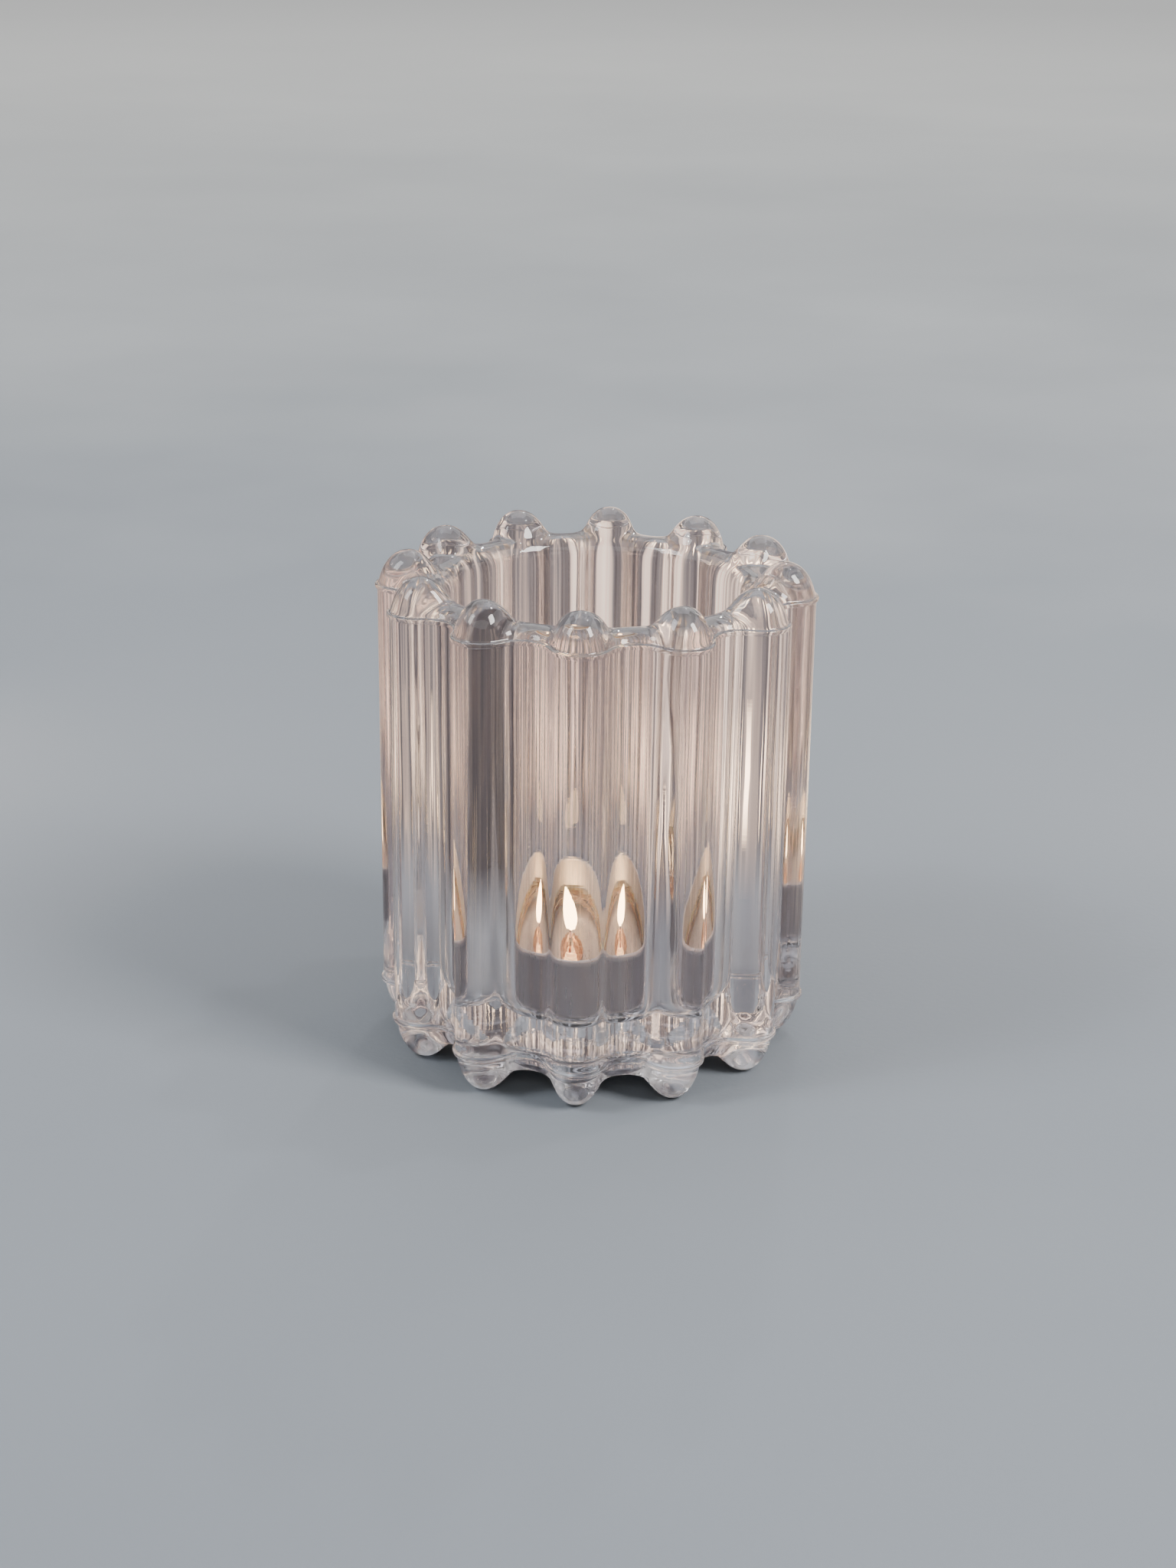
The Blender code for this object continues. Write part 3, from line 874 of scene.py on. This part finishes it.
def pool_material(mottle):
    """Clear melted wax with a still, glossy face."""
    material, tree, shader, place = new_material(
        "melted_wax", {"Transmission Weight": 1.0, "IOR": 1.43, "Metallic": 0.0})
    cloud = place_group(tree, mottle, place, {"Scale": 320.0, "Low": 0.0, "High": 1.0})
    colour = colour_ramp(
        tree, cloud, [(0.0, (0.97, 0.92, 0.84)), (1.0, (0.99, 0.96, 0.91))])
    tree.links.new(colour, shader.inputs["Base Color"])
    shader.inputs["Roughness"].default_value = 0.0
    bump_from(tree, shader, cloud, 0.12, 0.0001)
    return material


def tin_material(mottle, lines):
    """Tinned plate, warmed and stained by the wick."""
    material, tree, shader, place = new_material("tinned_plate", {"Metallic": 1.0})
    cloud = place_group(tree, mottle, place, {"Scale": 1400.0, "Low": 0.0, "High": 1.0})
    colour = colour_ramp(
        tree, cloud,
        [(0.0, (0.38, 0.17, 0.07)), (0.55, (0.72, 0.42, 0.22)), (1.0, (0.86, 0.66, 0.46))])
    tree.links.new(colour, shader.inputs["Base Color"])
    drawn = place_group(tree, lines, place, {"Across": 5200.0, "Along": 300.0})
    rough = spread_value(tree, drawn, 0.3, 0.7, 0.22, 0.5)
    tree.links.new(rough, shader.inputs["Roughness"])
    bump_from(tree, shader, drawn, 0.3, 0.00005)
    return material


def wick_material(mottle):
    """Cotton braid: soaked below, black above, glowing at the very tip."""
    material, tree, shader, place = new_material(
        "wick_cotton", {"Emission Strength": 6.0, "Specular IOR Level": 0.3})
    height = height_of(tree, place)
    share = spread_value(tree, height, WAX_LEVEL, wick_high.z - 0.0004)
    colour = colour_ramp(
        tree, share,
        [(0.0, (0.50, 0.36, 0.22)), (0.25, (0.20, 0.11, 0.06)), (0.5, (0.02, 0.017, 0.015)),
         (1.0, (0.03, 0.02, 0.015))])
    tree.links.new(colour, shader.inputs["Base Color"])
    glow = colour_ramp(
        tree, share,
        [(0.0, (0.0, 0.0, 0.0)), (0.82, (0.0, 0.0, 0.0)), (1.0, (1.0, 0.16, 0.02))])
    tree.links.new(glow, shader.inputs["Emission Color"])
    thread = place_group(tree, mottle, place, {"Scale": 4200.0, "Low": 0.0, "High": 1.0})
    rough = spread_value(tree, thread, 0.0, 1.0, 0.7, 1.0)
    tree.links.new(rough, shader.inputs["Roughness"])
    bump_from(tree, shader, thread, 0.8, 0.00025)
    return material


def flame_material():
    """Flame: faint blue foot, white-hot middle and a yellow tip, softer where it is seen bare."""
    material, tree, shader, place = new_material(
        "flame_light", {
            "Base Color": (0.0, 0.0, 0.0, 1.0), "Roughness": 1.0, "Specular IOR Level": 0.0,
            "IOR": 1.0, "Emission Strength": 260.0})
    height = height_of(tree, place)
    share = spread_value(tree, height, FLAME_FOOT, FLAME_FOOT + FLAME_HEIGHT)
    glow = colour_ramp(
        tree, share,
        [(0.0, (0.10, 0.09, 0.14)), (0.08, (0.50, 0.32, 0.18)), (0.22, (1.0, 0.76, 0.50)),
         (0.55, (1.0, 0.81, 0.56)), (0.88, (1.0, 0.70, 0.40)), (1.0, (1.0, 0.52, 0.20))])
    facing = add_node(tree, "ShaderNodeLayerWeight", inputs={"Blend": 0.35})
    bare = colour_ramp(
        tree, facing.outputs["Facing"],
        [(0.0, (0.018, 0.0135, 0.0065)), (0.45, (0.012, 0.0078, 0.0026)),
         (1.0, (0.006, 0.0022, 0.0004))])
    blue_foot = mix_colours(
        tree, spread_value(tree, share, 0.02, 0.30), (0.0012, 0.0016, 0.0040), bare)
    seen = tree.nodes.new("ShaderNodeLightPath")
    mirrored = mix_colours(tree, seen.outputs["Is Glossy Ray"], glow, (0.11, 0.075, 0.038))
    shown = mix_colours(tree, seen.outputs["Is Camera Ray"], mirrored, blue_foot)
    tree.links.new(shown, shader.inputs["Emission Color"])
    body = spread_value(tree, facing.outputs["Facing"], 0.55, 1.0, 1.0, 0.0)
    tree.links.new(body, shader.inputs["Alpha"])
    return material


def painted_glow_under_glass(tree, place):
    """Painted light on the floor under the fluted foot, in pale and dim rays, seen only through the
    glass.
    """
    heading = combine_vectors(tree, "NORMALIZE", place)
    colour = colour_ramp(
        tree, cloud_value(tree, heading, scale=16.0, detail=2.0, roughness=0.55),
        [(0.0, (0.0, 0.0, 0.0)), (0.50, (0.02, 0.02, 0.02)), (0.56, (0.42, 0.46, 0.52)),
         (0.64, (1.0, 1.06, 1.15)), (1.0, (1.3, 1.4, 1.5))])
    reach = combine_vectors(tree, "LENGTH", place)
    inside = spread_value(tree, reach, 0.0290, 0.0315, 1.0, 0.0)
    seen = tree.nodes.new("ShaderNodeLightPath")
    through = combine(tree, "MULTIPLY", inside, seen.outputs["Is Transmission Ray"])
    return scale_colour(tree, colour, through)


def table_material():
    """Matt pale grey-blue paper, painted darker towards the front as painted shade and melting into
    the plain air far off, with a painted glow under the glass.
    """
    material, tree, shader, place = new_material(
        "paper_sweep", {"Roughness": 0.85, "Specular IOR Level": 0.2, "Emission Strength": 1.0})
    # Painted shade: the paper is painted darker near a point in front of the object and paler far
    # off, while the cloudy drift is the paper's own.
    reach = combine_vectors(
        tree, "LENGTH", combine_vectors(tree, "SUBTRACT", place, FLOOR_MIDDLE))
    depth = spread_value(tree, reach, 0.0, 1.75)
    paper = cloud_value(tree, place, scale=5.0, detail=4.0)
    drift = spread_value(tree, paper, 0.3, 0.7, -0.05, 0.05)
    colour = colour_ramp(
        tree, combine(tree, "ADD", depth, drift),
        [(0.0, (0.195, 0.220, 0.252)), (0.28, (0.262, 0.290, 0.325)), (0.50, (0.50, 0.53, 0.555)),
         (1.0, (0.92, 0.94, 0.935))])
    far = spread_value(tree, reach, *FLOOR_FADE)
    tree.links.new(mix_colours(tree, far, colour, (0.0, 0.0, 0.0)), shader.inputs["Base Color"])
    # The paper's emission: a painted glow under the glass, turning to the plain air colour far off.
    glow = mix_colours(tree, far, painted_glow_under_glass(tree, place), AIR_SEEN)
    tree.links.new(glow, shader.inputs["Emission Color"])
    grain = cloud_value(tree, place, scale=900.0, detail=2.0)
    bump_from(tree, shader, grain, 0.15, 0.0004)
    return material


# ---- studio --------------------------------------------------------------------------------
def area_light(name, place, target, size, power, colour):
    """A rectangular soft box aimed at a point."""
    light = bpy.data.lights.new(name, "AREA")
    light.shape = "RECTANGLE"
    light.size, light.size_y = size
    light.energy = power
    light.color = colour
    holder = bpy.data.objects.new(name, light)
    bpy.context.collection.objects.link(holder)
    holder.location = place
    holder.rotation_euler = (Vector(target) - Vector(place)).to_track_quat("-Z", "Y").to_euler()
    holder.visible_camera = False


def ring_place(bearing, reach, height):
    """A place round the object, by bearing in degrees from +X."""
    turn = math.radians(bearing)
    return (reach * math.cos(turn), reach * math.sin(turn), height)


def reflector_ring():
    """A low ring of pale, peach and dark cards with small glints, which only the glass sees."""
    leave_edit()
    bpy.ops.mesh.primitive_cylinder_add(
        vertices=96, radius=RING_RADIUS, depth=RING_HEIGHT, end_fill_type="NOTHING",
        location=(0.0, 0.0, 0.5 * RING_HEIGHT + 0.0005))
    ring, shape = open_edit("reflector_ring")
    bpy.ops.object.mode_set(mode="OBJECT")
    material, tree, shader, place = new_material(
        "reflector_cards", {
            "Roughness": 1.0, "Specular IOR Level": 0.0, "Emission Strength": 1.0,
            "Base Color": (0.0, 0.0, 0.0, 1.0)})
    tall = combine_vectors(tree, "MULTIPLY", place, (-1.0, 1.0, 0.035))
    cards = cloud_value(tree, tall, scale=72.0, detail=3.0, roughness=0.60)
    bearing = add_node(tree, "ShaderNodeTexGradient", gradient_type="RADIAL")
    tree.links.new(place, bearing.inputs["Vector"])
    lean = colour_ramp(tree, bearing.outputs["Fac"], [(at, (v, v, v)) for at, v in CARD_LEAN])
    leaned = combine(tree, "MULTIPLY_ADD", lean, LEAN_WEIGHT, cards)
    colour = colour_ramp(
        tree, spread_value(tree, leaned, 0.18, 1.18),
        [(0.0, (0.05, 0.044, 0.05)), (0.38, (0.11, 0.097, 0.11)), (0.45, (0.26, 0.24, 0.255)),
         (0.50, (0.48, 0.43, 0.43)), (0.545, (1.10, 0.88, 0.75)), (0.62, (2.5, 2.05, 1.70)),
         (1.0, (3.4, 2.9, 2.5))])
    height = height_of(tree, place)
    sparkle = cloud_value(tree, tall, scale=420.0, detail=1.0)
    glints = spread_value(tree, sparkle, 0.585, 0.65)
    band = combine(
        tree, "MULTIPLY", spread_value(tree, height, 0.009, 0.018),
        spread_value(tree, height, 0.024, 0.036, 1.0, 0.0))
    banded = combine(tree, "MULTIPLY", glints, band)
    kept = combine(tree, "MULTIPLY", banded, spread_value(tree, lean, 0.48, 0.53))
    lit = mix_colours(tree, kept, colour, (13.0, 9.8, 6.6))
    rise = spread_value(tree, height, 0.0, 0.055, 0.62, 0.86)
    fade = spread_value(tree, height, 0.0, 0.012)
    tree.links.new(fade, shader.inputs["Alpha"])
    tree.links.new(scale_colour(tree, lit, rise), shader.inputs["Emission Color"])
    ring.data.materials.append(material)
    ring.visible_camera = False
    ring.visible_diffuse = False
    ring.visible_shadow = False


def surroundings(tree):
    """Air round the set: tall pale and dim panels for the glass, plain and pale to the eye."""
    air = tree.nodes["Background"]
    air.inputs["Strength"].default_value = AIR_STRENGTH
    heading = tree.nodes.new("ShaderNodeTexCoord")
    squash = combine_vectors(tree, "MULTIPLY", heading.outputs["Generated"], (1.0, 1.0, 0.22))
    panel_colour = colour_ramp(
        tree, cloud_value(tree, squash, scale=5.5, detail=2.5, roughness=0.6),
        [(0.0, (0.10, 0.085, 0.085)), (0.44, (0.20, 0.175, 0.175)), (0.50, (0.52, 0.50, 0.50)),
         (0.58, (0.74, 0.73, 0.74)), (1.0, (1.0, 0.98, 0.97))])
    ceiling = spread_value(tree, height_of(tree, heading.outputs["Generated"]), 0.25, 0.85)
    blend = mix_colours(tree, ceiling, panel_colour, (0.66, 0.66, 0.68))
    seen = tree.nodes.new("ShaderNodeLightPath")
    plain = tuple(part / AIR_STRENGTH for part in AIR_SEEN)
    shown = mix_colours(tree, seen.outputs["Is Camera Ray"], blend, plain)
    even = mix_colours(tree, seen.outputs["Is Diffuse Ray"], shown, (0.52, 0.51, 0.51))
    tree.links.new(even, air.inputs["Color"])


def build_studio():
    """Paper sweep, soft boxes and surroundings."""
    leave_edit()
    bpy.ops.mesh.primitive_plane_add(size=24.0, location=(0.0, 0.0, 0.0))
    floor, shape = open_edit("paper_floor")
    bpy.ops.object.mode_set(mode="OBJECT")
    floor.data.materials.append(table_material())
    world = bpy.data.worlds.new("studio_air")
    bpy.context.scene.world = world
    world.use_nodes = True
    surroundings(world.node_tree)
    middle = (0.0, 0.0, 0.035)
    area_light("key_box", (0.56, -0.30, 0.62), middle, (0.26, 0.34), 8.2, (1.0, 0.97, 0.94))
    area_light("fill_box", (-0.50, -0.26, 0.58), middle, (0.26, 0.34), 2.8, (0.96, 0.98, 1.0))
    area_light("top_box", (-0.05, 0.45, 0.95), middle, (0.7, 0.5), 1.6, (0.96, 0.97, 1.0))
    for number, (x, y) in enumerate(((0.0, 1.9), (-1.9, 0.0), (0.0, -1.9), (1.9, 0.0))):
        area_light(
            f"wash_{number}", (x, y, 1.1), (x, y, 0.0), (2.0, 2.0), 15.0, (1.0, 0.99, 0.97))
    area_light("left_strip", (-0.42, 0.06, 0.16), middle, (0.05, 0.30), 0.25, (1.0, 0.80, 0.66))
    area_light("back_strip", (0.30, 0.42, 0.20), middle, (0.06, 0.32), 0.25, (1.0, 0.84, 0.72))
    for number, (bearing, width, height, power, colour) in enumerate(GLOW_STRIPS):
        area_light(
            f"glow_strip_{number}", ring_place(bearing, GLOW_REACH, 0.5 * height),
            (0.0, 0.0, 0.5 * height), (width, height), power, colour)
    reflector_ring()
    for number, place in enumerate(((0.20, 0.10, 0.55), (-0.34, -0.20, 0.50), (0.05, 0.42, 0.40))):
        area_light(f"spark_{number}", place, middle, (0.02, 0.02), 0.30, (1.0, 1.0, 1.0))


def build_camera():
    """Camera at the natural viewing angle, a little above the rim."""
    camera = bpy.data.cameras.new("camera")
    holder = bpy.data.objects.new("camera", camera)
    bpy.context.collection.objects.link(holder)
    rise = math.sin(CAMERA_ELEVATION)
    run = math.cos(CAMERA_ELEVATION)
    back = Vector((0.0, -run, rise))
    right = Vector((1.0, 0.0, 0.0))
    up = Vector((0.0, rise, run))
    side = right * math.cos(CAMERA_ROLL) + up * math.sin(CAMERA_ROLL)
    top = up * math.cos(CAMERA_ROLL) - right * math.sin(CAMERA_ROLL)
    place = back * CAMERA_DISTANCE + Vector((0.0, 0.0, GLASS_HEIGHT / 2.0))
    matrix = Matrix((
        (side.x, top.x, back.x, place.x),
        (side.y, top.y, back.y, place.y),
        (side.z, top.z, back.z, place.z),
        (0.0, 0.0, 0.0, 1.0)))
    holder.matrix_world = Matrix.Rotation(CAMERA_TURN, 4, "Z") @ matrix
    camera.sensor_fit = "VERTICAL"
    camera.sensor_height = 36.0
    camera.lens = CAMERA_LENS
    camera.shift_x, camera.shift_y = CAMERA_SHIFT
    camera.clip_start = 0.01
    camera.clip_end = 20.0
    bpy.context.scene.camera = holder
    cycles = bpy.context.scene.cycles
    cycles.max_bounces = 24
    cycles.transmission_bounces = 24
    cycles.glossy_bounces = 10
    cycles.transparent_max_bounces = 12
    cycles.caustics_reflective = False
    cycles.caustics_refractive = False


# ---- put it together -----------------------------------------------------------------------
def finish_piece(piece, body, node, material):
    """Give a piece its finish, the body it moves with and the solid it stands for."""
    piece.data.materials.clear()
    piece.data.materials.append(material)
    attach(piece, body)
    if node:
        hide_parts(node)


mottle_group = make_mottle()
lines_group = make_drawn_lines()

glass = build_glass()
fit_glass(glass)
finish_piece(glass, "holder", "glass_holder", glass_material(mottle_group, lines_group))
cup = build_cup()
finish_piece(
    cup, "tealight", "tealight_cup", aluminium_material(mottle_group, lines_group))
wax = build_wax()
finish_piece(wax, "tealight", "wax", wax_material(mottle_group))
pool = build_pool()
finish_piece(pool, "tealight", None, pool_material(mottle_group))
pool.visible_shadow = False
plate = build_sustainer()
finish_piece(
    plate, "tealight", "wick_sustainer", tin_material(mottle_group, lines_group))
wick = build_wick()
finish_piece(wick, "tealight", "wick", wick_material(mottle_group))
flame = build_flame()
finish_piece(flame, "tealight", None, flame_material())

build_studio()
build_camera()
leave_edit()
